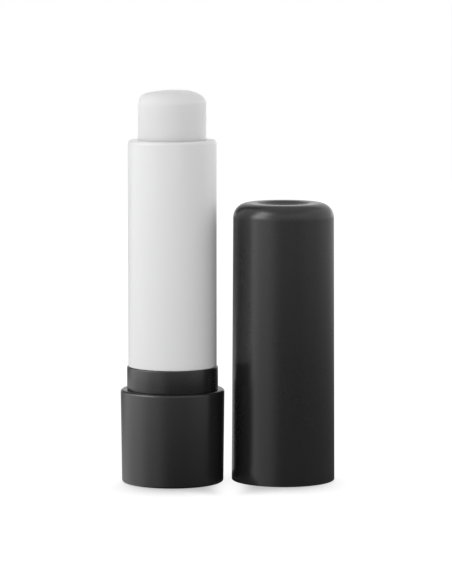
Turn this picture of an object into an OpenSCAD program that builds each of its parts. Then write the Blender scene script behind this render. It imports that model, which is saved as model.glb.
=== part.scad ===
// Twist-up lip balm stick, open, with its cap standing beside it, mouth down.
// Millimetres, +Z up. The origin is on the stick's axis, at the middle of its foot.

/* [Cap] */
// Height of the cap
cap_h = 51.8; // [51:0.1:58]
// Outer diameter at the mouth
cap_mouth_d = 19.2; // [19:0.1:20]
// Outer diameter where the rounded crown starts
cap_neck_d = 18.7; // [18.5:0.1:19]
// Diameter of the plain bore that slides over the collar
cap_bore_d = 17; // [16.96:0.02:17.1]
// Width of the rounded crown, from the neck in to the crest of the rim
cap_crown_w = 2.8; // [2:0.1:4]
// Height of the rounded crown
cap_crown_h = 2.7; // [2.5:0.1:4.5]
// Depth of the dish in the top
cap_dish = 1.1; // [0.4:0.1:1.4]
// Thickness of the top at the middle of the dish
cap_top_t = 1.1; // [0.9:0.1:1.5]
// Number of low grip ribs inside the mouth
cap_ribs = 6; // [3:1:8]
// How far to the stick's right the cap stands
cap_x = 20.6; // [20:0.1:60]
// How far behind the stick the cap stands
cap_y = 2; // [0:0.5:6]

/* [Base] */
// Height of the base, foot to shoulder
base_h = 17.3; // [16:0.1:18]
// Outer diameter at the shoulder
base_d = 19.3; // [19:0.1:20]
// Outer diameter at the foot
base_foot_d = 18.9; // [18.6:0.1:19.2]
// Thickness of the base's floor
base_floor_t = 1.2; // [1:0.1:1.2]
// How far the collar stands out of the base
collar_h = 4.3; // [3.5:0.1:6]
// Outer diameter of the collar
collar_d = 16.9; // [16.86:0.02:16.92]

/* [Tube] */
// Outer diameter of the white sleeve
tube_d = 16.4; // [16.2:0.1:16.5]
// Height of the sleeve's rim above the foot
rim_z = 63.6; // [63:0.1:64]
// Rounding of the rim's outer edge
rim_round = 0.45; // [0.2:0.05:0.6]

/* [Balm] */
// Diameter of the balm
balm_d = 12.6; // [12.4:0.1:12.6]
// How far the balm is screwed up from its lowest position
balm_raised = 10; // [2:2:40]
// Depth of the tip below the rim when it is screwed down
tip_sunk = 0.8; // [0.3:0.1:1.5]
// Rounding of the tip's edge
tip_round = 1.5; // [0.8:0.1:2]
// Height of the low dome inside that rounding
tip_dome = 0.5; // [0.2:0.1:1]

/* [Screw] */
// Rise of the balm for one turn of the base
lead = 4; // [3:0.5:5]
// Full travel of the balm
travel = 42; // [40:1:42]
// Radius of the screw's core
core_r = 1.6; // [1.5:0.05:1.7]
// Radius of the thread's crest
crest_r = 2.3; // [2.2:0.05:2.4]

/* [Hidden] */
$fn = 96;
tiny = 0.01;
cut = 1;

// Fits, as gaps between radii
press_gap = 0.03;
slide_gap = 0.08;
turn_gap = 0.1;
end_gap = 0.1;
wax_gap = 0.15;
thread_gap = 0.15;
rib_gap = 0.15;

// Base and collar
collar_r = collar_d / 2;
collar_top = base_h + collar_h;
collar_ledge = 0.2;
stem_r = collar_r - collar_ledge;
shell_bore_r = stem_r + press_gap;
collar_bore_r = 7.5;
foot_round = 0.4;
shoulder_round = 0.3;
lip_round = 0.05;
bead_h = 0.15;
shell_bead_z = 15;
socket_r = 4.2;
socket_top = 4.8;
web_t = 0.8;
web_top = 3.4;
web_reach = 7.2;

// Splined foot of the spindle
spline_teeth = 10;
spline_r_in = 2.5;
spline_r_out = 2.95;
spline_gap = 0.04;
spline_foot_gap = 0.15;

// Inner tube
inner_r = collar_bore_r - turn_gap;
guide_r = balm_d / 2 + 0.05;
flange_t = 1;
flange_r = 5.5;
tube_foot_z = socket_top + flange_t + end_gap;
tube_floor_t = 1;
tube_floor_top = tube_foot_z + tube_floor_t;
journal_r = 2.68;
journal_bore_r = 2.75;
snap_r = 2.95;
snap_t = 0.6;
tube_bead_z = 12;
tube_bead_h = 0.22;
tube_bead_t = 1;
rib_w = 1;
rib_r = guide_r - 0.6;
rib_top = 52;

// White sleeve
sleeve_foot = collar_top + 0.05;
sleeve_bore_r = inner_r + 0.02;
rim_t = 0.75;
rim_bore_r = balm_d / 2 + turn_gap;
sleeve_bead_z = 30;
sleeve_bead_h = 0.12;
inner_top = rim_z - rim_t - 0.05;

// Elevator, from its lowest position
lift_low = tube_floor_top + snap_t + 0.3;
lift_z = lift_low + balm_raised;
lift_r = guide_r - slide_gap;
boss_r = 3.6;
guide_t = 0.9;
boss_h = 4.4;
plate_t = 1.2;
cup_h = 4;
cup_bore_r = 5.6;
notch_w = rib_w + 2 * rib_gap;
notch_r = rib_r - rib_gap;
grip_left = 4.2;
window_w = 1.8;
window_h = 2.2;
screw_foot = lift_low;
screw_top = lift_low + travel + grip_left;

// Balm
balm_foot = lift_z + boss_h + plate_t;
balm_step = balm_foot + cup_h;
balm_tip = rim_z - tip_sunk + balm_raised;
balm_bore_r = crest_r + wax_gap;
balm_bore_top = screw_top + balm_raised + 0.5;
groove_top = rib_top + balm_raised + 0.3;

// Thread form
thread_points = 14;
slices_per_turn = 14;
root_half = 46;
crest_half = 26;
flank_ease = 7;

// Points of an arc, in the plane of an outline
function arc(cx, cy, rx, ry, from, to, steps) =
    [for (i = [0:steps]) let (a = from + (to - from) * i / steps) [cx + rx * cos(a), cy + ry * sin(a)]];

// Outline of a screw cut across its axis: a round core with one raised lobe
function screw_outline(core, crest, ease) = concat(
    [for (a = [-crest_half - ease, 0, crest_half + ease]) [crest * cos(a), crest * sin(a)]],
    [for (i = [0:thread_points - 4])
        let (a = root_half + ease + i * (360 - 2 * (root_half + ease)) / (thread_points - 4))
        [core * cos(a), core * sin(a)]]
);

// Outline of a spline with pointed teeth
function spline_outline(r_in, r_out) =
    [for (i = [0:2 * spline_teeth - 1])
        let (a = i * 180 / spline_teeth, r = i % 2 == 0 ? r_out : r_in) [r * cos(a), r * sin(a)]];

// Left-hand screw whose lobe lies at an angle set by its height, so that screw and nut match
module screw(from_z, to_z, core, crest, ease) {
    height = to_z - from_z;
    translate([0, 0, from_z])
        rotate([0, 0, -360 * from_z / lead])
            linear_extrude(height = height, twist = 360 * height / lead,
                           slices = ceil(slices_per_turn * height / lead), $fn = thread_points)
                polygon(screw_outline(core, crest, ease));
}

// Round bar along the axis
module bar(from_z, to_z, r) {
    translate([0, 0, from_z]) cylinder(h = to_z - from_z, r = r);
}

// Ring of rounded section that stands out of, or is cut into, a round wall
module bead(z, r, h, t) {
    rotate_extrude()
        polygon([[r - h, z - t / 2], [r, z - t / 2], [r + h, z - t / 4],
                 [r + h, z + t / 4], [r, z + t / 2], [r - h, z + t / 2]]);
}

// A pair of bars on the X axis, one on each side, for ribs and for the grooves that ride on them
module side_bars(from_z, to_z, from_r, to_r, w) {
    for (a = [0, 180])
        rotate([0, 0, a]) translate([from_r, -w / 2, from_z]) cube([to_r - from_r, w, to_z - from_z]);
}

// Cap: one moulding, closed at the top, with a rounded crown and a shallow dish
module cap() {
    neck_r = cap_neck_d / 2;
    mouth_r = cap_mouth_d / 2;
    bore_r = cap_bore_d / 2;
    crest = neck_r - cap_crown_w;
    neck_z = cap_h - cap_crown_h;
    ceiling = cap_h - cap_dish - cap_top_t;
    mouth_round = 0.15;
    lead_in = 0.25;
    ceiling_round = 1.6;
    dish_steps = 12;
    dish_power = 3;
    grip_w = 0.6;
    grip_h = 0.07;
    grip_z = [1, 4];

    color("#1c1c1e") translate([cap_x, cap_y, 0]) {
        rotate_extrude()
            polygon(concat(
                [[bore_r, lead_in], [bore_r + lead_in, 0], [mouth_r - mouth_round, 0]],
                arc(mouth_r - mouth_round, mouth_round, mouth_round, mouth_round, -60, 0, 2),
                arc(crest, neck_z, cap_crown_w, cap_crown_h, 0, 90, 12),
                [for (i = [dish_steps - 1:-1:0])
                    let (f = i / dish_steps) [crest * f, cap_h - cap_dish * (1 - pow(f, dish_power))]],
                [[0, ceiling]],
                arc(bore_r - ceiling_round, ceiling - ceiling_round, ceiling_round, ceiling_round, 90, 0, 4)
            ));
        for (i = [0:cap_ribs - 1])
            rotate([0, 0, 360 * (i + 0.5) / cap_ribs])
                translate([bore_r - grip_h, -grip_w / 2, grip_z[0]])
                    cube([grip_h + 0.3, grip_w, grip_z[1] - grip_z[0]]);
    }
}

// Base: the cup that is turned, with a shoulder for the cap and a splined socket for the spindle
module base_shell() {
    foot_r = base_foot_d / 2;
    top_r = base_d / 2;

    color("#202022") difference() {
        union() {
            rotate_extrude()
                polygon(concat(
                    [[0, 0], [foot_r - foot_round, 0]],
                    arc(foot_r - foot_round, foot_round, foot_round, foot_round, -67.5, 0, 3),
                    arc(top_r - shoulder_round, base_h - shoulder_round, shoulder_round, shoulder_round, 0, 90, 4),
                    arc(shell_bore_r + lip_round, base_h - lip_round, lip_round, lip_round, 90, 180, 3),
                    [[shell_bore_r, shell_bead_z + 0.5], [shell_bore_r - bead_h, shell_bead_z + 0.2],
                     [shell_bore_r - bead_h, shell_bead_z - 0.2], [shell_bore_r, shell_bead_z - 0.5],
                     [shell_bore_r, base_floor_t], [0, base_floor_t]]
                ));
            bar(base_floor_t - tiny, socket_top, socket_r);
            for (a = [0:90:270])
                rotate([0, 0, a + 45]) translate([socket_r - 0.5, -web_t / 2, base_floor_t - tiny])
                    cube([web_reach - socket_r + 0.5, web_t, web_top - base_floor_t + tiny]);
        }
        translate([0, 0, base_floor_t])
            linear_extrude(height = socket_top)
                polygon(spline_outline(spline_r_in + spline_gap, spline_r_out + spline_gap));
    }
}

// Collar: a sleeve whose stem is pressed into the base and whose head rests on the base's lip.
// The cap grips the head, and the tube's bead turns in the groove inside the stem
module collar() {
    groove_h = tube_bead_h;
    groove_t = tube_bead_t + 3 * end_gap;
    edge = 0.15;
    seam_edge = 0.1;

    color("#1a1a1c") rotate_extrude()
        polygon([
            [collar_bore_r, base_floor_t], [stem_r - edge, base_floor_t], [stem_r, base_floor_t + edge],
            [stem_r, shell_bead_z - 0.7], [stem_r - bead_h, shell_bead_z - 0.3],
            [stem_r - bead_h, shell_bead_z + 0.3], [stem_r, shell_bead_z + 0.7],
            [stem_r, base_h], [collar_r - seam_edge, base_h], [collar_r, base_h + seam_edge],
            [collar_r, collar_top - edge], [collar_r - edge, collar_top], [collar_bore_r, collar_top],
            [collar_bore_r, tube_bead_z + groove_t / 2], [collar_bore_r + groove_h, tube_bead_z + groove_t / 2 - 0.2],
            [collar_bore_r + groove_h, tube_bead_z - groove_t / 2 + 0.2], [collar_bore_r, tube_bead_z - groove_t / 2]
        ]);
}

// White outer sleeve, with a flat rim that turns in over the inner tube
module outer_sleeve() {
    outer_r = tube_d / 2;
    under_rim = rim_z - rim_t;
    edge = 0.12;

    color("#eef0f2") difference() {
        rotate_extrude()
            polygon(concat(
                [[sleeve_bore_r, sleeve_foot], [outer_r - edge, sleeve_foot], [outer_r, sleeve_foot + edge]],
                arc(outer_r - rim_round, rim_z - rim_round, rim_round, rim_round, 0, 90, 5),
                arc(rim_bore_r + edge, rim_z - edge, edge, edge, 90, 180, 3),
                [[rim_bore_r, under_rim], [sleeve_bore_r, under_rim]]
            ));
        bead(sleeve_bead_z, sleeve_bore_r, sleeve_bead_h + 0.02, 1.2);
    }
}

// Inner tube: guides the elevator on two ribs, and turns in the collar
module inner_tube() {
    rib_foot = tube_floor_top - tiny;

    color("#f4f4f0") {
        difference() {
            union() {
                rotate_extrude()
                    polygon([
                        [journal_bore_r, tube_foot_z], [inner_r - 0.3, tube_foot_z], [inner_r, tube_foot_z + 0.3],
                        [inner_r, tube_bead_z - tube_bead_t / 2],
                        [inner_r + tube_bead_h, tube_bead_z - tube_bead_t / 4],
                        [inner_r + tube_bead_h, tube_bead_z + tube_bead_t / 4],
                        [inner_r, tube_bead_z + tube_bead_t / 2],
                        [inner_r, inner_top], [guide_r, inner_top], [guide_r, tube_floor_top],
                        [journal_bore_r, tube_floor_top]
                    ]);
                bead(sleeve_bead_z, inner_r, sleeve_bead_h, 1);
            }
            bar(sleeve_bead_z - cut, sleeve_bead_z + cut, guide_r);
        }
        side_bars(rib_foot, rib_top, rib_r, guide_r + 0.3, rib_w);
    }
}

// Spindle: splined foot, flange, journal in the tube's floor, snap bead, and the long screw
module spindle() {
    journal_top = tube_floor_top + end_gap;
    core_overlap = 0.5;

    color("#e9ebe6") {
        translate([0, 0, base_floor_t + spline_foot_gap])
            linear_extrude(height = socket_top - base_floor_t - spline_foot_gap + tiny)
                polygon(spline_outline(spline_r_in, spline_r_out));
        bar(socket_top, socket_top + flange_t, flange_r);
        bar(socket_top + flange_t - tiny, journal_top + tiny, journal_r);
        translate([0, 0, journal_top]) cylinder(h = snap_t - end_gap, r1 = snap_r, r2 = snap_r - 0.5);
        bar(journal_top + snap_t - end_gap - tiny, screw_foot + core_overlap, core_r - 0.15);
        screw(screw_foot, screw_top, core_r, crest_r, 0);
    }
}

// Elevator: the nut on the screw, with a guide disc below and the cup that holds the balm above
module elevator() {
    plate_z = lift_z + boss_h;
    top_z = plate_z + plate_t + cup_h;

    color("#f2f2ee") difference() {
        union() {
            bar(lift_z, lift_z + guide_t, lift_r);
            bar(lift_z, plate_z + tiny, boss_r);
            bar(plate_z, top_z, lift_r);
            for (a = [45:90:315])
                rotate([0, 0, a]) translate([boss_r - 0.5, -web_t / 2, lift_z + guide_t - tiny])
                    cube([lift_r - boss_r - 0.5, web_t, boss_h - guide_t + 2 * tiny]);
        }
        bar(plate_z + plate_t, top_z + cut, cup_bore_r);
        side_bars(lift_z - cut, top_z + cut, notch_r, lift_r + cut, notch_w);
        for (a = [90, 270])
            rotate([0, 0, a]) translate([cup_bore_r - cut, -window_w / 2, plate_z + plate_t + 0.8])
                cube([2 * cut + 1, window_w, window_h]);
        screw(lift_z - cut, plate_z + plate_t + cut, core_r + thread_gap, crest_r + thread_gap, flank_ease);
    }
}

// Balm: the stick of wax cast into the cup, with a well for the spindle and grooves for the tube's ribs
module balm() {
    r = balm_d / 2;
    inset = r - tip_round;
    dome_steps = 6;

    color("#f1f0ec") difference() {
        rotate_extrude()
            polygon(concat(
                [[0, balm_foot], [cup_bore_r - 0.02, balm_foot], [cup_bore_r - 0.02, balm_step], [r, balm_step]],
                arc(inset, balm_tip - tip_dome - tip_round, tip_round, tip_round, 0, 80, 8),
                [for (i = [dome_steps:-1:0])
                    let (f = i / dome_steps) [inset * f, balm_tip - tip_dome * f * f]]
            ));
        bar(balm_foot - cut, balm_bore_top, balm_bore_r);
        side_bars(balm_foot - cut, groove_top, notch_r, r + cut, notch_w);
    }
}

cap();
base_shell();
collar();
outer_sleeve();
inner_tube();
spindle();
elevator();
balm();
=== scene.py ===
# Lip balm stick, open, with its cap standing beside it

import math

import bmesh
import bpy
from mathutils import Matrix, Vector


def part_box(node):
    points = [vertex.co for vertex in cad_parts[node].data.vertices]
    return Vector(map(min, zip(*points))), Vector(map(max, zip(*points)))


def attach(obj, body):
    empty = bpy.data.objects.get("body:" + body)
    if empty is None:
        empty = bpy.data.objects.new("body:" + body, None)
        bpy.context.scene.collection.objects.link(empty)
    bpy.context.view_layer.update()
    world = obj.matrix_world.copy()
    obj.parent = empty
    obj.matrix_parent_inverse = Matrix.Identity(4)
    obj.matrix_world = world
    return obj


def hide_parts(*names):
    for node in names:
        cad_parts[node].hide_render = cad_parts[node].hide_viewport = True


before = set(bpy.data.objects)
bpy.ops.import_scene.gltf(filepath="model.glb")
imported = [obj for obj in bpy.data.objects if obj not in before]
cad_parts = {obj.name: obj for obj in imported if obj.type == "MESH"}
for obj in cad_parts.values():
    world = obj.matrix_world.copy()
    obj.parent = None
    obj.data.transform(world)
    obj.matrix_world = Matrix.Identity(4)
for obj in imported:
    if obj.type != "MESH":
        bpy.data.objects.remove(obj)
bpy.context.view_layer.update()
mm = 0.001
sharpAngle = math.radians(40)  # edges sharper than this stay crisp under smooth shading
onAxis = 1e-7                  # a radius below this is a single point on the axis
print("frame loaded:", len(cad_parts), "nodes")


# An outline is a list of (radius, height) in metres, and a turned piece is one spun about an upright axis

def arcPoints(centre, radii, startDeg, endDeg, steps):
    points = []
    for i in range(steps + 1):
        a = math.radians(startDeg + (endDeg - startDeg) * i / steps)
        points.append((centre[0] + radii[0] * math.cos(a), centre[1] + radii[1] * math.sin(a)))
    return points


# A round of one size about (radius, height), where 0 degrees is outwards and 90 is up
def roundCorner(radius, height, size, startDeg, endDeg, steps):
    return arcPoints((radius, height), (size, size), startDeg, endDeg, steps)


def finishMesh(name, bm, material):
    bmesh.ops.recalc_face_normals(bm, faces=bm.faces)
    mesh = bpy.data.meshes.new(name)
    bm.to_mesh(mesh)
    bm.free()
    mesh.shade_smooth()
    mesh.set_sharp_from_angle(angle=sharpAngle)
    mesh.materials.append(material)
    piece = bpy.data.objects.new(name, mesh)
    bpy.context.collection.objects.link(piece)
    return piece


def turnedPiece(name, outline, axis, segments, material, reshape=None):
    bm = bmesh.new()
    rings = []
    for r, z in outline:
        if r < onAxis:
            rings.append([bm.verts.new((axis[0], axis[1], z))])
            continue
        ring = []
        for i in range(segments):
            a = 2 * math.pi * i / segments
            out, height = reshape(r, z, a) if reshape else (r, z)
            ring.append(bm.verts.new((axis[0] + out * math.cos(a), axis[1] + out * math.sin(a), height)))
        rings.append(ring)
    for lower, upper in zip(rings, rings[1:] + rings[:1]):
        if len(lower) == 1 and len(upper) == 1:
            continue
        for i in range(segments):
            j = (i + 1) % segments
            corners = [ring[k % len(ring)] for ring, k in ((lower, i), (lower, j), (upper, j), (upper, i))]
            bm.faces.new(list(dict.fromkeys(corners)))  # beside a point on the axis this is a triangle
    return finishMesh(name, bm, material)


# A bar with softened edges, set in an upright plane that is turned about an axis
def turnedBar(name, axis, turn, low, high, soften, material):
    bm = bmesh.new()
    bmesh.ops.create_cube(bm, size=1)
    bmesh.ops.scale(bm, vec=[b - a for a, b in zip(low, high)], verts=bm.verts)
    bmesh.ops.translate(bm, vec=[(a + b) / 2 for a, b in zip(low, high)], verts=bm.verts)
    if soften:
        bmesh.ops.bevel(bm, geom=bm.edges[:], offset=soften, segments=3, affect="EDGES")
    bmesh.ops.rotate(bm, cent=(0, 0, 0), matrix=Matrix.Rotation(turn, 3, "Z"), verts=bm.verts)
    bmesh.ops.translate(bm, vec=(axis[0], axis[1], 0), verts=bm.verts)
    return finishMesh(name, bm, material)


# Adds bars to a piece, or cuts them out of it, so that it stays one solid
def mergeBars(piece, bars, operation):
    for bar in bars:
        merge = piece.modifiers.new(bar.name, "BOOLEAN")
        merge.operation = operation
        merge.solver = "EXACT"
        merge.object = bar
    bpy.context.view_layer.update()
    merged = bpy.data.meshes.new_from_object(piece.evaluated_get(bpy.context.evaluated_depsgraph_get()))
    piece.modifiers.clear()
    plain = piece.data
    piece.data = merged
    bpy.data.meshes.remove(plain)
    merged.set_sharp_from_angle(angle=sharpAngle)
    for bar in bars:
        bpy.data.meshes.remove(bar.data)


def nodeSize(node):
    low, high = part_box(node)
    axis = ((low[0] + high[0]) / 2, (low[1] + high[1]) / 2)
    return axis, (high[0] - low[0]) / 2, low[2], high[2]


# Shader helpers

def addNode(nodes, kind, settings=None, inputs=None):
    node = nodes.new(kind)
    for key, value in (settings or {}).items():
        setattr(node, key, value)
    for key, value in (inputs or {}).items():
        node.inputs[key].default_value = value
    return node


def newMaterial(name):
    material = bpy.data.materials.new(name)
    material.use_nodes = True
    tree = material.node_tree
    return material, tree.nodes, tree.links, tree.nodes["Principled BSDF"]


def newGroup(name, inputs, outputs):
    group = bpy.data.node_groups.new(name, "ShaderNodeTree")
    for label, value in inputs.items():
        socket = group.interface.new_socket(label, in_out="INPUT", socket_type="NodeSocketFloat")
        socket.default_value = value
    for label in outputs:
        group.interface.new_socket(label, in_out="OUTPUT", socket_type="NodeSocketFloat")
    return group, group.nodes.new("NodeGroupInput"), group.nodes.new("NodeGroupOutput")


# The skin of every moulded or cast piece: a faint peel, a haze left by handling, and upright flow streaks
skinNoise = {
    "Peel": dict(detail=2.0, roughness=0.45),
    "Haze": dict(detail=4.0, roughness=0.6),
    "Flow": dict(detail=3.0, roughness=0.55, perMm=(0.35, 0.35, 0.04)),
}


def makeSkinGroup():
    group, given, out = newGroup("castSkin", {"Peel Size": 1.2, "Haze Size": 9.0}, ["Peel", "Haze", "Flow"])
    nodes, links = group.nodes, group.links
    place = addNode(nodes, "ShaderNodeTexCoord")
    inMm = addNode(nodes, "ShaderNodeVectorMath", {"operation": "SCALE"}, {"Scale": 1 / mm})
    links.new(place.outputs["Object"], inMm.inputs[0])
    for label in ("Peel", "Haze"):
        look = skinNoise[label]
        perMm = addNode(nodes, "ShaderNodeMath", {"operation": "DIVIDE"}, {0: 1.0})
        links.new(given.outputs[label + " Size"], perMm.inputs[1])
        noise = addNode(nodes, "ShaderNodeTexNoise", None,
                        {"Detail": look["detail"], "Roughness": look["roughness"]})
        links.new(inMm.outputs[0], noise.inputs["Vector"])
        links.new(perMm.outputs[0], noise.inputs["Scale"])
        links.new(noise.outputs["Fac"], out.inputs[label])
    look = skinNoise["Flow"]
    stretch = addNode(nodes, "ShaderNodeMapping", None, {"Scale": look["perMm"]})
    links.new(inMm.outputs[0], stretch.inputs["Vector"])
    streaks = addNode(nodes, "ShaderNodeTexNoise", None,
                      {"Scale": 1.0, "Detail": look["detail"], "Roughness": look["roughness"]})
    links.new(stretch.outputs[0], streaks.inputs["Vector"])
    links.new(streaks.outputs["Fac"], out.inputs["Flow"])
    return group


castSkin = makeSkinGroup()
hazeRange = (0.3, 0.7)  # the part of the haze noise that spreads the gloss


def skinnedMaterial(name, look):
    material, nodes, links, shader = newMaterial(name)
    skin = addNode(nodes, "ShaderNodeGroup", {"node_tree": castSkin},
                   {"Peel Size": look["peelSize"], "Haze Size": look["hazeSize"]})
    tint = addNode(nodes, "ShaderNodeMix", {"data_type": "RGBA"})
    tint.inputs["A"].default_value = (*look["color"], 1)
    tint.inputs["B"].default_value = (*look["streakColor"], 1)
    links.new(skin.outputs["Flow"], tint.inputs["Factor"])
    links.new(tint.outputs["Result"], shader.inputs["Base Color"])
    sheen = addNode(nodes, "ShaderNodeMapRange", None,
                    {"From Min": hazeRange[0], "From Max": hazeRange[1],
                     "To Min": look["roughness"] - look["hazeSpread"],
                     "To Max": look["roughness"] + look["hazeSpread"]})
    links.new(skin.outputs["Haze"], sheen.inputs["Value"])
    links.new(sheen.outputs["Result"], shader.inputs["Roughness"])
    bump = addNode(nodes, "ShaderNodeBump", None, {"Strength": 1.0, "Distance": look["peelDepth"] * mm})
    links.new(skin.outputs["Peel"], bump.inputs["Height"])
    links.new(bump.outputs["Normal"], shader.inputs["Normal"])
    for socket, value in look.get("shader", {}).items():
        shader.inputs[socket].default_value = value
    return material


# Colours are linear, and the sizes of haze and peel and the peel's depth are in millimetres
finishes = {
    "capBlack": dict(color=(0.0135, 0.0135, 0.0135), streakColor=(0.0165, 0.0165, 0.0165),
                     roughness=0.28, hazeSpread=0.015, hazeSize=9.0, peelSize=1.4, peelDepth=0.002,
                     shader={"IOR": 1.65}),
    "baseBlack": dict(color=(0.0105, 0.0105, 0.0105), streakColor=(0.0135, 0.0135, 0.0135),
                      roughness=0.3, hazeSpread=0.015, hazeSize=7.0, peelSize=1.2, peelDepth=0.0025,
                      shader={"IOR": 1.65}),
    "collarBlack": dict(color=(0.0135, 0.0135, 0.0135), streakColor=(0.0165, 0.0165, 0.0165),
                        roughness=0.28, hazeSpread=0.02, hazeSize=5.0, peelSize=0.9, peelDepth=0.0025,
                        shader={"IOR": 1.65}),
    "sleeveWhite": dict(color=(0.80, 0.80, 0.805), streakColor=(0.82, 0.82, 0.825), roughness=0.34,
                        hazeSpread=0.03, hazeSize=8.0, peelSize=1.5, peelDepth=0.0025,
                        shader={"IOR": 1.5}),
    "innerWhite": dict(color=(0.80, 0.80, 0.78), streakColor=(0.83, 0.83, 0.81), roughness=0.45,
                       hazeSpread=0.03, hazeSize=6.0, peelSize=1.0, peelDepth=0.004,
                       shader={"IOR": 1.49}),
    "naturalPlastic": dict(color=(0.76, 0.77, 0.74), streakColor=(0.80, 0.81, 0.78), roughness=0.42,
                           hazeSpread=0.04, hazeSize=4.0, peelSize=0.8, peelDepth=0.004,
                           shader={"IOR": 1.49}),
    "wax": dict(color=(0.77, 0.77, 0.77), streakColor=(0.80, 0.80, 0.80), roughness=0.42,
                hazeSpread=0.08, hazeSize=3.0, peelSize=0.9, peelDepth=0.012,
                shader={"IOR": 1.44, "Specular IOR Level": 0.3, "Subsurface Weight": 1.0,
                        "Subsurface Scale": 2.5 * mm, "Subsurface Radius": (1.0, 1.0, 1.0)}),
}
materials = {name: skinnedMaterial(name, look) for name, look in finishes.items()}
print("materials made:", len(materials))


# Cap: one moulding with a rounded crown, a shallow dish in its top and grip ribs inside its mouth

capShape = {
    "neckInset": 0.25 * mm,
    "crownWidth": 2.8 * mm,
    "crownHeight": 2.7 * mm,
    "dishDepth": 1 * mm,
    "dishPower": 2.4,       # 2 is a bowl, more is a flatter floor
    "landWidth": 1.5 * mm,  # the nearly flat ring between dish and crown
    "landDrop": 0.03 * mm,
    "landEdge": 0.1 * mm,
    "topThickness": 1.2 * mm,
    "wall": 1.1 * mm,
    "mouthRound": 0.15 * mm,
    "leadIn": 0.25 * mm,
    "ceilingRound": 1.6 * mm,
    "segments": 192,
    "crownSteps": 28,
    "mouthSteps": 5,
    "ceilingSteps": 8,
    "ribs": 6,
    "ribWidth": 0.6 * mm,
    "ribHeight": 0.07 * mm,
    "ribFoot": 1 * mm,
    "ribTop": 4 * mm,
    "ribSunk": 0.3 * mm,
    "ribEdge": 0.03 * mm,
}


def capOutline(radius, foot, top, shape):
    neckRadius = radius - shape["neckInset"]
    crest = neckRadius - shape["crownWidth"]
    neck = top - shape["crownHeight"]
    bore = radius - shape["wall"]
    ceiling = top - shape["dishDepth"] - shape["topThickness"]
    mouthRound, ceilingRound = shape["mouthRound"], shape["ceilingRound"]
    dishRadius, rim = crest - shape["landWidth"], top - shape["landDrop"]
    steps = shape["crownSteps"]
    dish = []
    for i in range(steps):
        f = i / steps
        dish.append((dishRadius * f, rim - shape["dishDepth"] * (1 - f ** shape["dishPower"])))
    dish.append((dishRadius + shape["landEdge"], rim))
    crown = arcPoints((crest, neck), (shape["crownWidth"], shape["crownHeight"]), 90, 0, steps)
    mouth = roundCorner(radius - mouthRound, foot + mouthRound, mouthRound, 0, -90, shape["mouthSteps"])
    inside = [(bore + shape["leadIn"], foot), (bore, foot + shape["leadIn"])]
    corner = roundCorner(bore - ceilingRound, ceiling - ceilingRound, ceilingRound, 0, 90,
                         shape["ceilingSteps"])
    return dish + crown + mouth + inside + corner + [(0, ceiling)]


def makeCap():
    shape = capShape
    axis, radius, foot, top = nodeSize("cap")
    cap = turnedPiece("cap_shell", capOutline(radius, foot, top, shape), axis, shape["segments"],
                      materials["capBlack"])
    bore = radius - shape["wall"]
    low = (bore - shape["ribHeight"], -shape["ribWidth"] / 2, foot + shape["ribFoot"])
    high = (bore + shape["ribSunk"], shape["ribWidth"] / 2, foot + shape["ribTop"])
    ribs = []
    for i in range(shape["ribs"]):
        turn = 2 * math.pi * (i + 0.5) / shape["ribs"]
        ribs.append(turnedBar("rib_%d" % i, axis, turn, low, high, shape["ribEdge"], materials["capBlack"]))
    mergeBars(cap, ribs, "UNION")
    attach(cap, "cap")
    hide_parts("cap")
    print("cap made")


makeCap()


# Base: the cup that is turned, with the socket and webs inside it

baseShape = {
    "footInset": 0.2 * mm,
    "floor": 1.2 * mm,
    "footRound": 0.4 * mm,
    "shoulderRound": 0.45 * mm,
    "lipRound": 0.05 * mm,
    "boreGap": 0.03 * mm,  # round the collar's stem
    "socketRadius": 4.2 * mm,
    "socketTop": 4.8 * mm,
    "splineIn": 2.54 * mm,
    "splineOut": 2.99 * mm,
    "splineTeeth": 10,
    "webs": 4,
    "webWidth": 0.8 * mm,
    "webReach": 7.2 * mm,
    "webTop": 3.4 * mm,
    "webInSocket": 0.5 * mm,
    "webInFloor": 0.1 * mm,
    "segments": 200,
    "roundSteps": 8,
    "lipSteps": 4,
}

# Collar: the sleeve pressed into the base, whose head stands out of it

collarShape = {
    "stemInset": 0.2 * mm,
    "wall": 0.95 * mm,
    "edge": 0.2 * mm,
    "seamEdge": 0.1 * mm,  # at the head's foot, on the base's shoulder
    "segments": 200,
    "edgeSteps": 6,
    "seamSteps": 4,
}


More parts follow.
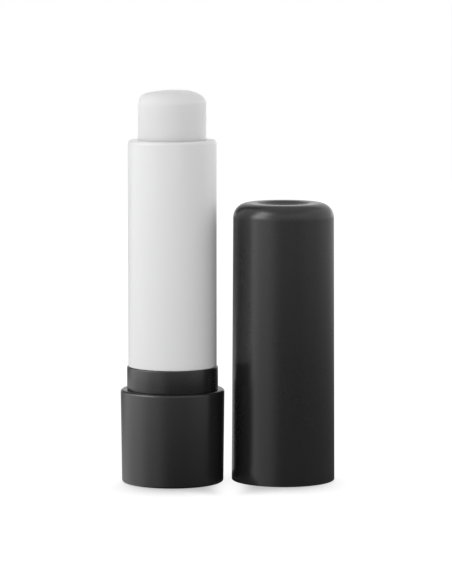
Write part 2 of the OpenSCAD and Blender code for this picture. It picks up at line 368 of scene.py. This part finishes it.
def makeBase():
    shape = baseShape
    axis, radius, foot, shoulder = nodeSize("base_shell")
    footRadius = radius - shape["footInset"]
    bore = nodeSize("collar")[1] - collarShape["stemInset"] + shape["boreGap"]
    floor = foot + shape["floor"]
    splineOut, socketRadius, socketTop = shape["splineOut"], shape["socketRadius"], foot + shape["socketTop"]
    footRound, shoulderRound, lipRound = shape["footRound"], shape["shoulderRound"], shape["lipRound"]
    outline = [(0, foot)]
    outline += roundCorner(footRadius - footRound, foot + footRound, footRound, -90, 0, shape["roundSteps"])
    outline += roundCorner(radius - shoulderRound, shoulder - shoulderRound, shoulderRound, 0, 90,
                           shape["roundSteps"])
    outline += roundCorner(bore + lipRound, shoulder - lipRound, lipRound, 90, 180, shape["lipSteps"])
    outline += [(bore, floor), (socketRadius, floor), (socketRadius, socketTop),
                (splineOut, socketTop), (splineOut, floor), (0, floor)]

    def spline(r, z, angle):
        if r != splineOut:
            return r, z
        tooth = abs((angle * shape["splineTeeth"] / math.pi + 1) % 2 - 1)
        return r - (splineOut - shape["splineIn"]) * tooth, z

    shell = turnedPiece("base_cup", outline, axis, shape["segments"], materials["baseBlack"], spline)
    low = (socketRadius - shape["webInSocket"], -shape["webWidth"] / 2, floor - shape["webInFloor"])
    high = (shape["webReach"], shape["webWidth"] / 2, foot + shape["webTop"])
    webs = []
    for i in range(shape["webs"]):
        turn = 2 * math.pi * (i + 0.5) / shape["webs"]
        webs.append(turnedBar("web_%d" % i, axis, turn, low, high, 0, materials["baseBlack"]))
    mergeBars(shell, webs, "UNION")
    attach(shell, "base")
    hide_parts("base_shell")
    print("base made")


def makeCollar():
    shape = collarShape
    axis, radius, foot, top = nodeSize("collar")
    shoulder = nodeSize("base_shell")[3]
    stem, inner = radius - shape["stemInset"], radius - shape["wall"]
    edge, seam = shape["edge"], shape["seamEdge"]
    outline = [(inner, foot), (stem, foot), (stem, shoulder)]
    outline += roundCorner(radius - seam, shoulder + seam, seam, -90, 0, shape["seamSteps"])
    outline += roundCorner(radius - edge, top - edge, edge, 0, 90, shape["edgeSteps"])
    outline += [(inner, top)]
    collar = turnedPiece("collar_sleeve", outline, axis, shape["segments"], materials["collarBlack"])
    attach(collar, "base")
    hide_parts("collar")
    print("collar made")


makeBase()
makeCollar()


# Tube: the white sleeve with its flat rim

sleeveShape = {
    "wall": 0.78 * mm,
    "rimThickness": 0.75 * mm,
    "rimOpening": 6.33 * mm,
    "rimRound": 0.6 * mm,
    "footEdge": 0.04 * mm,
    "rimEdge": 0.1 * mm,
    "segments": 192,
    "footSteps": 5,
    "roundSteps": 10,
    "edgeSteps": 6,
}


def makeSleeve():
    shape = sleeveShape
    axis, radius, foot, rim = nodeSize("outer_sleeve")
    inner, opening = radius - shape["wall"], shape["rimOpening"]
    footEdge, edge, rimRound = shape["footEdge"], shape["rimEdge"], shape["rimRound"]
    outline = [(inner, foot)]
    outline += roundCorner(radius - footEdge, foot + footEdge, footEdge, -90, 0, shape["footSteps"])
    outline += roundCorner(radius - rimRound, rim - rimRound, rimRound, 0, 90, shape["roundSteps"])
    outline += roundCorner(opening + edge, rim - edge, edge, 90, 180, shape["edgeSteps"])
    outline += [(opening, rim - shape["rimThickness"]), (inner, rim - shape["rimThickness"])]
    sleeve = turnedPiece("white_sleeve", outline, axis, shape["segments"], materials["sleeveWhite"])
    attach(sleeve, "tube")
    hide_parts("outer_sleeve")
    print("sleeve made")


makeSleeve()


# Balm: a stick of wax whose tip is a low dome, tighter at its left edge than at its right

balmShape = {
    "peakOffset": 0.5,        # in millimetres, as are the next three
    "domeCurve": 0.021,
    "leftRound": (1.0, 2.0),  # width and depth of the edge
    "rightRound": (3.4, 1.6),
    "flankRings": (5 * mm, 4 * mm),
    "cupRadius": 5.58 * mm,
    "cupDepth": 4 * mm,
    "wellRadius": 2.45 * mm,
    "wellTop": 64.5 * mm,
    "grooveRadius": 5.6 * mm,
    "grooveWidth": 1.3 * mm,
    "grooveTop": 62.3 * mm,
    "grooveOverrun": 1 * mm,
    "segments": 160,
    "tipSteps": 40,
}


# How far, in millimetres, the surface at radius r is below the peak of a stick of the full radius
def tipDrop(r, angle, full):
    shape = balmShape
    side = (1 - math.cos(angle)) / 2
    width = shape["rightRound"][0] + (shape["leftRound"][0] - shape["rightRound"][0]) * side
    depth = shape["rightRound"][1] + (shape["leftRound"][1] - shape["rightRound"][1]) * side
    away2 = (r * math.cos(angle) - shape["peakOffset"]) ** 2 + (r * math.sin(angle)) ** 2
    past = min(1, max(0, (r - (full - width)) / width))
    return shape["domeCurve"] * away2 + depth * (1 - math.sqrt(1 - past * past))


def makeBalm():
    shape = balmShape
    axis, radius, foot, tip = nodeSize("balm")
    full = radius / mm
    wellRadius, cupRadius, wellTop = shape["wellRadius"], shape["cupRadius"], shape["wellTop"]
    step = foot + shape["cupDepth"]
    tipMark = tip + 1  # a height no point has, for the points that reshape sets
    outline = [(wellRadius, foot), (cupRadius, foot), (cupRadius, step), (radius, step)]
    outline += [(radius, tip - below) for below in shape["flankRings"]]
    for i in range(shape["tipSteps"]):
        outline.append((radius * math.cos(math.pi / 2 * i / shape["tipSteps"]), tipMark))
    outline += [(0, tip - tipDrop(0, 0, full) * mm), (0, wellTop), (wellRadius, wellTop)]

    def reshape(r, z, angle):
        return r, tip - tipDrop(min(r / mm, full), angle, full) * mm if z == tipMark else z

    balm = turnedPiece("balm_stick", outline, axis, shape["segments"], materials["wax"], reshape)
    low = (shape["grooveRadius"], -shape["grooveWidth"] / 2, foot - shape["grooveOverrun"])
    high = (radius + shape["grooveOverrun"], shape["grooveWidth"] / 2, shape["grooveTop"])
    grooves = []
    for i in range(2):
        grooves.append(turnedBar("groove_%d" % i, axis, math.pi * i, low, high, 0, materials["wax"]))
    mergeBars(balm, grooves, "DIFFERENCE")
    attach(balm, "balm_carrier")
    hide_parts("balm")
    print("balm made")


makeBalm()


# The inner pieces keep their solids and get their finish

innerFinishes = {"inner_tube": "innerWhite", "spindle": "naturalPlastic", "elevator": "naturalPlastic"}
for node, finish in innerFinishes.items():
    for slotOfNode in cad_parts[node].material_slots:
        slotOfNode.material = materials[finish]
print("inner pieces finished")


# Floor, backdrop, lamps and camera

floorLook = {
    "size": 8.0,
    "level": -0.02 * mm,
    "color": (0.8, 0.8, 0.8),      # what lights the object from below
    "seenColor": (0.2, 0.2, 0.2),  # what the camera sees, with the glow on top
    "roughness": 0.9,
    "glow": 0.9,
    # The glow the camera sees is dimmed close to the feet: a painted shadow that falls towards the camera's
    # side
    "paintedShadowGlow": 0.34,           # the glow close to the feet
    "paintedShadowRange": (0.3, 0.86),
    "paintedShadowReach": 14 * mm,
    "paintedShadowTilt": (0, 1, 0.2),
    "paintedShadowSamples": 16,
    "gapPlace": (10.6 * mm, 1 * mm),  # midway between base and cap
    "gapReach": 6 * mm,
    # How far the painted shadow is lifted between base and cap
    "gapShadowLift": (0.8, 0.4),
}

# A dark sheet of painted shade on the floor between the feet, which only the gloss shows
gapShade = {
    "reach": 9 * mm,
    "under": 0.5 * mm,  # how far it goes under the feet
    "sunk": 0.01 * mm,
    "color": (0.2, 0.2, 0.2),
    "steps": 32,
}

# Soft panels that only the gloss shows. Each faces the object from a turn, where 0 is the camera's side and
# -90 the left, and from a height above the horizon, and reaches half its size either way, all in degrees.
room = {
    "fill": 0.49,
    "panels": {
        "leftWall": dict(facing=(-95, 6.9), half=(35, 13.1), soft=(35, 2), glow=1.6),
        "frontLeftWall": dict(facing=(-40, 6.9), half=(17.5, 13.1), soft=(35, 2), glow=0.96),
        "frontWall": dict(facing=(30, 6.9), half=(52.5, 13.1), soft=(35, 7), glow=0.42),
        "frontRightWall": dict(facing=(62, 6.9), half=(17.5, 13.1), soft=(35, 7), glow=0.22),
        "rightWall": dict(facing=(140, 6.9), half=(57.5, 13.1), soft=(35, 7), glow=0.8),
        "leftFoot": dict(facing=(-97.5, -28.1), half=(35, 21.9), soft=(35, 2), glow=0.95),
        "frontLeftFoot": dict(facing=(-40, -28.1), half=(17.5, 21.9), soft=(35, 2), glow=0.45),
        "frontFoot": dict(facing=(12.5, -28.1), half=(35, 21.9), soft=(35, 2), glow=0.04),
        "rightFoot": dict(facing=(122.5, -28.1), half=(75, 21.9), soft=(35, 2), glow=0.06),
        "behindLeftFoot": dict(facing=(-150, -29.4), half=(22.5, 21.9), soft=(35, 2), glow=0.62),
        "frontCove": dict(facing=(-7.5, 37.5), half=(40, 17.5), soft=(30, 10), glow=0.66),
        "rightCove": dict(facing=(82.5, 37.5), half=(50, 17.5), soft=(30, 10), glow=0.78),
        "leftCove": dict(facing=(-125, 37.5), half=(37.5, 17.5), soft=(30, 10), glow=0.07),
        "behindCove": dict(facing=(165, 27), half=(32.5, 7), soft=(30, 6), glow=0.73),
        "behindTop": dict(facing=(165, 44.5), half=(32.5, 10.5), soft=(30, 6), glow=0.38),
        "ceiling": dict(facing=(0, 90), half=(180, 35), soft=(1, 12), glow=0.51),
        "key": dict(facing=(-78, 36), half=(32, 22), soft=(30, 14), glow=3.47),
        "horizon": dict(facing=(180, 2), half=(35, 5), soft=(20, 3), glow=0.7),
    },
}


def rayMask(nodes, links, kinds):
    paths = nodes.new("ShaderNodeLightPath")
    mask = paths.outputs[kinds[0]]
    for kind in kinds[1:]:
        mask = calculate(nodes, links, "MAXIMUM", mask, paths.outputs[kind])
    return mask


def calculate(nodes, links, operation, first, second):
    node = addNode(nodes, "ShaderNodeMath", {"operation": operation})
    links.new(first, node.inputs[0])
    links.new(second, node.inputs[1])
    return node.outputs[0]


def constantMath(nodes, links, operation, source, *values):
    node = addNode(nodes, "ShaderNodeMath", {"operation": operation}, dict(enumerate(values, 1)))
    links.new(source, node.inputs[0])
    return node.outputs[0]


def fade(nodes, links, source, start, end, before, after):
    node = addNode(nodes, "ShaderNodeMapRange", {"interpolation_type": "SMOOTHSTEP"},
                   {"From Min": start, "From Max": end, "To Min": before, "To Max": after})
    links.new(source, node.inputs["Value"])
    return node.outputs[0]


def mixShaders(nodes, links, mask, first, second):
    mix = addNode(nodes, "ShaderNodeMixShader")
    for source, socket in zip((mask, first, second), mix.inputs):
        links.new(source, socket)
    return mix.outputs[0]


def makeFloor():
    bm = bmesh.new()
    bmesh.ops.create_grid(bm, x_segments=1, y_segments=1, size=floorLook["size"] / 2)
    bmesh.ops.translate(bm, vec=(0, 0, floorLook["level"]), verts=bm.verts)
    material, nodes, links, shader = newMaterial("floorPaper")
    shader.inputs["Roughness"].default_value = floorLook["roughness"]
    shader.inputs["Specular IOR Level"].default_value = 0.0
    shader.inputs["Emission Color"].default_value = (1, 1, 1, 1)
    seen = rayMask(nodes, links, ["Is Camera Ray", "Is Transmission Ray"])
    paper = addNode(nodes, "ShaderNodeMix", {"data_type": "RGBA"})
    paper.inputs["A"].default_value = (*floorLook["color"], 1)
    paper.inputs["B"].default_value = (*floorLook["seenColor"], 1)
    links.new(seen, paper.inputs["Factor"])
    links.new(paper.outputs["Result"], shader.inputs["Base Color"])
    # Painted shadow: the glow is dimmed where an occlusion test, tilted towards the back, finds the feet
    # close, and it is lifted again between base and cap
    tilt = addNode(nodes, "ShaderNodeCombineXYZ", None, dict(enumerate(floorLook["paintedShadowTilt"])))
    openness = addNode(nodes, "ShaderNodeAmbientOcclusion", {"samples": floorLook["paintedShadowSamples"]},
                       {"Distance": floorLook["paintedShadowReach"]})
    links.new(tilt.outputs[0], openness.inputs["Normal"])
    place = addNode(nodes, "ShaderNodeTexCoord")
    axes = addNode(nodes, "ShaderNodeSeparateXYZ")
    links.new(place.outputs["Object"], axes.inputs[0])
    aside = constantMath(nodes, links, "SUBTRACT", axes.outputs["X"], floorLook["gapPlace"][0])
    gap = fade(nodes, links, constantMath(nodes, links, "ABSOLUTE", aside), 0, floorLook["gapReach"],
               *floorLook["gapShadowLift"])
    glow = fade(nodes, links, calculate(nodes, links, "MAXIMUM", openness.outputs["AO"], gap),
                *floorLook["paintedShadowRange"], floorLook["paintedShadowGlow"], floorLook["glow"])
    links.new(calculate(nodes, links, "MULTIPLY", seen, glow), shader.inputs["Emission Strength"])
    side = addNode(nodes, "ShaderNodeNewGeometry")
    clear = addNode(nodes, "ShaderNodeBsdfTransparent")  # from below, so that the underside can be seen
    oneWay = mixShaders(nodes, links, side.outputs["Backfacing"], shader.outputs[0], clear.outputs[0])
    links.new(oneWay, nodes["Material Output"].inputs["Surface"])
    floor = finishMesh("floor", bm, material)
    floor.visible_glossy = False  # the panels stand for the floor in reflections


# How far a circle reaches to either side at an offset from its middle
def halfChord(radius, offset):
    return math.sqrt(max(0, radius * radius - offset * offset))


def makeGapShade():
    bm = bmesh.new()
    baseAxis, baseRadius = nodeSize("base_shell")[:2]
    capAxis, capRadius = nodeSize("cap")[:2]
    middle, level = floorLook["gapPlace"], floorLook["level"] - gapShade["sunk"]
    reach, under, steps = gapShade["reach"], gapShade["under"], gapShade["steps"]
    rows = []
    for i in range(1, steps):
        y = middle[1] + reach * (2 * i / steps - 1)
        half = halfChord(reach, y - middle[1])
        left = max(middle[0] - half, baseAxis[0] + halfChord(baseRadius - under, y - baseAxis[1]))
        right = min(middle[0] + half, capAxis[0] - halfChord(capRadius - under, y - capAxis[1]))
        rows.append([bm.verts.new((x, y, level)) for x in (left, right)])
    for near, far in zip(rows, rows[1:]):
        bm.faces.new(near + far[::-1])
    # Its dark colour is painted shade, seen only in the reflections of base and cap
    material, _, _, shader = newMaterial("gapShade")
    shader.inputs["Base Color"].default_value = (*gapShade["color"], 1)
    shader.inputs["Specular IOR Level"].default_value = 0.0
    shade = finishMesh("gap_shade", bm, material)
    shade.visible_camera = shade.visible_diffuse = shade.visible_shadow = shade.visible_transmission = False


def makeWorld():
    world = bpy.data.worlds.new("studioWorld")
    bpy.context.scene.world = world
    world.use_nodes = True
    nodes, links = world.node_tree.nodes, world.node_tree.links
    nodes.clear()
    place = addNode(nodes, "ShaderNodeTexCoord")
    axes = addNode(nodes, "ShaderNodeSeparateXYZ")
    links.new(place.outputs["Generated"], axes.inputs[0])
    towardsCamera = constantMath(nodes, links, "MULTIPLY", axes.outputs["Y"], -1)
    turn = calculate(nodes, links, "ARCTAN2", axes.outputs["X"], towardsCamera)
    turn = constantMath(nodes, links, "DEGREES", turn)
    height = constantMath(nodes, links, "DEGREES", constantMath(nodes, links, "ARCSINE", axes.outputs["Z"]))

    seen = None
    for name, look in room["panels"].items():
        across = constantMath(nodes, links, "SUBTRACT", turn, look["facing"][0])
        across = constantMath(nodes, links, "WRAP", across, 180, -180)
        up = constantMath(nodes, links, "SUBTRACT", height, look["facing"][1])
        masks = []
        for away, half, soft in zip((across, up), look["half"], look["soft"]):
            away = constantMath(nodes, links, "ABSOLUTE", away)
            masks.append(fade(nodes, links, away, half - soft / 2, half + soft / 2, 1, 0))
        mask = calculate(nodes, links, "MULTIPLY", *masks)
        glow = constantMath(nodes, links, "MULTIPLY", mask, look["glow"])
        glow.node.name = name
        seen = calculate(nodes, links, "ADD", seen, glow) if seen else glow

    fill = addNode(nodes, "ShaderNodeBackground", None, {"Strength": room["fill"]})
    mirrored = addNode(nodes, "ShaderNodeBackground")
    white = addNode(nodes, "ShaderNodeBackground", None, {"Strength": 1.0})
    for background in (fill, mirrored, white):
        background.inputs["Color"].default_value = (1, 1, 1, 1)
    links.new(seen, mirrored.inputs["Strength"])
    glossy = rayMask(nodes, links, ["Is Glossy Ray"])
    surface = mixShaders(nodes, links, glossy, fill.outputs[0], mirrored.outputs[0])
    direct = rayMask(nodes, links, ["Is Camera Ray", "Is Transmission Ray"])
    surface = mixShaders(nodes, links, direct, surface, white.outputs[0])
    out = addNode(nodes, "ShaderNodeOutputWorld")
    links.new(surface, out.inputs["Surface"])


# Each lamp is a softbox that lights the object and its floor; the panels above stand for it in the gloss
lamps = {
    "leftSoftbox": dict(place=(-0.62, 0.02, 0.16), size=(0.6, 0.5), radiance=0.33),
    "backLeftSoftbox": dict(place=(-0.45, 0.42, 0.16), size=(0.4, 0.5), radiance=1.5),
    "keySoftbox": dict(place=(-0.50, -0.28, 0.42), size=(0.5, 0.4), radiance=2.68),
    "rightSoftbox": dict(place=(0.50, 0.35, 0.20), size=(0.5, 0.4), radiance=2.68),
    "frontSoftbox": dict(place=(0.15, -0.75, 0.25), size=(0.5, 0.5), radiance=1.14),
}
lampTarget = Vector((0.01, 0, 0.035))


def makeLamps():
    for name, look in lamps.items():
        light = bpy.data.lights.new(name, "AREA")
        light.shape = "RECTANGLE"
        light.size, light.size_y = look["size"]
        light.energy = look["radiance"] * math.pi * look["size"][0] * look["size"][1]
        lamp = bpy.data.objects.new(name, light)
        lamp.location = look["place"]
        lamp.rotation_euler = (lampTarget - lamp.location).to_track_quat("-Z", "Y").to_euler()
        lamp.visible_camera = False
        lamp.visible_glossy = False
        bpy.context.collection.objects.link(lamp)


camera = {
    "away": 0.620,
    "height": 0.104,
    "side": 0.00993,
    "pitchDeg": 6.317,
    "lens": 207.5,
    "sensorWidth": 36,
}


def makeCamera():
    data = bpy.data.cameras.new("camera")
    data.lens = camera["lens"]
    data.sensor_width = camera["sensorWidth"]
    eye = bpy.data.objects.new("camera", data)
    eye.location = (camera["side"], -camera["away"], camera["height"])
    eye.rotation_euler = (math.radians(90 - camera["pitchDeg"]), 0, 0)
    bpy.context.collection.objects.link(eye)
    bpy.context.scene.camera = eye


makeFloor()
makeGapShade()
makeWorld()
makeLamps()
makeCamera()
bpy.context.scene.view_settings.view_transform = "Standard"
print("studio made")
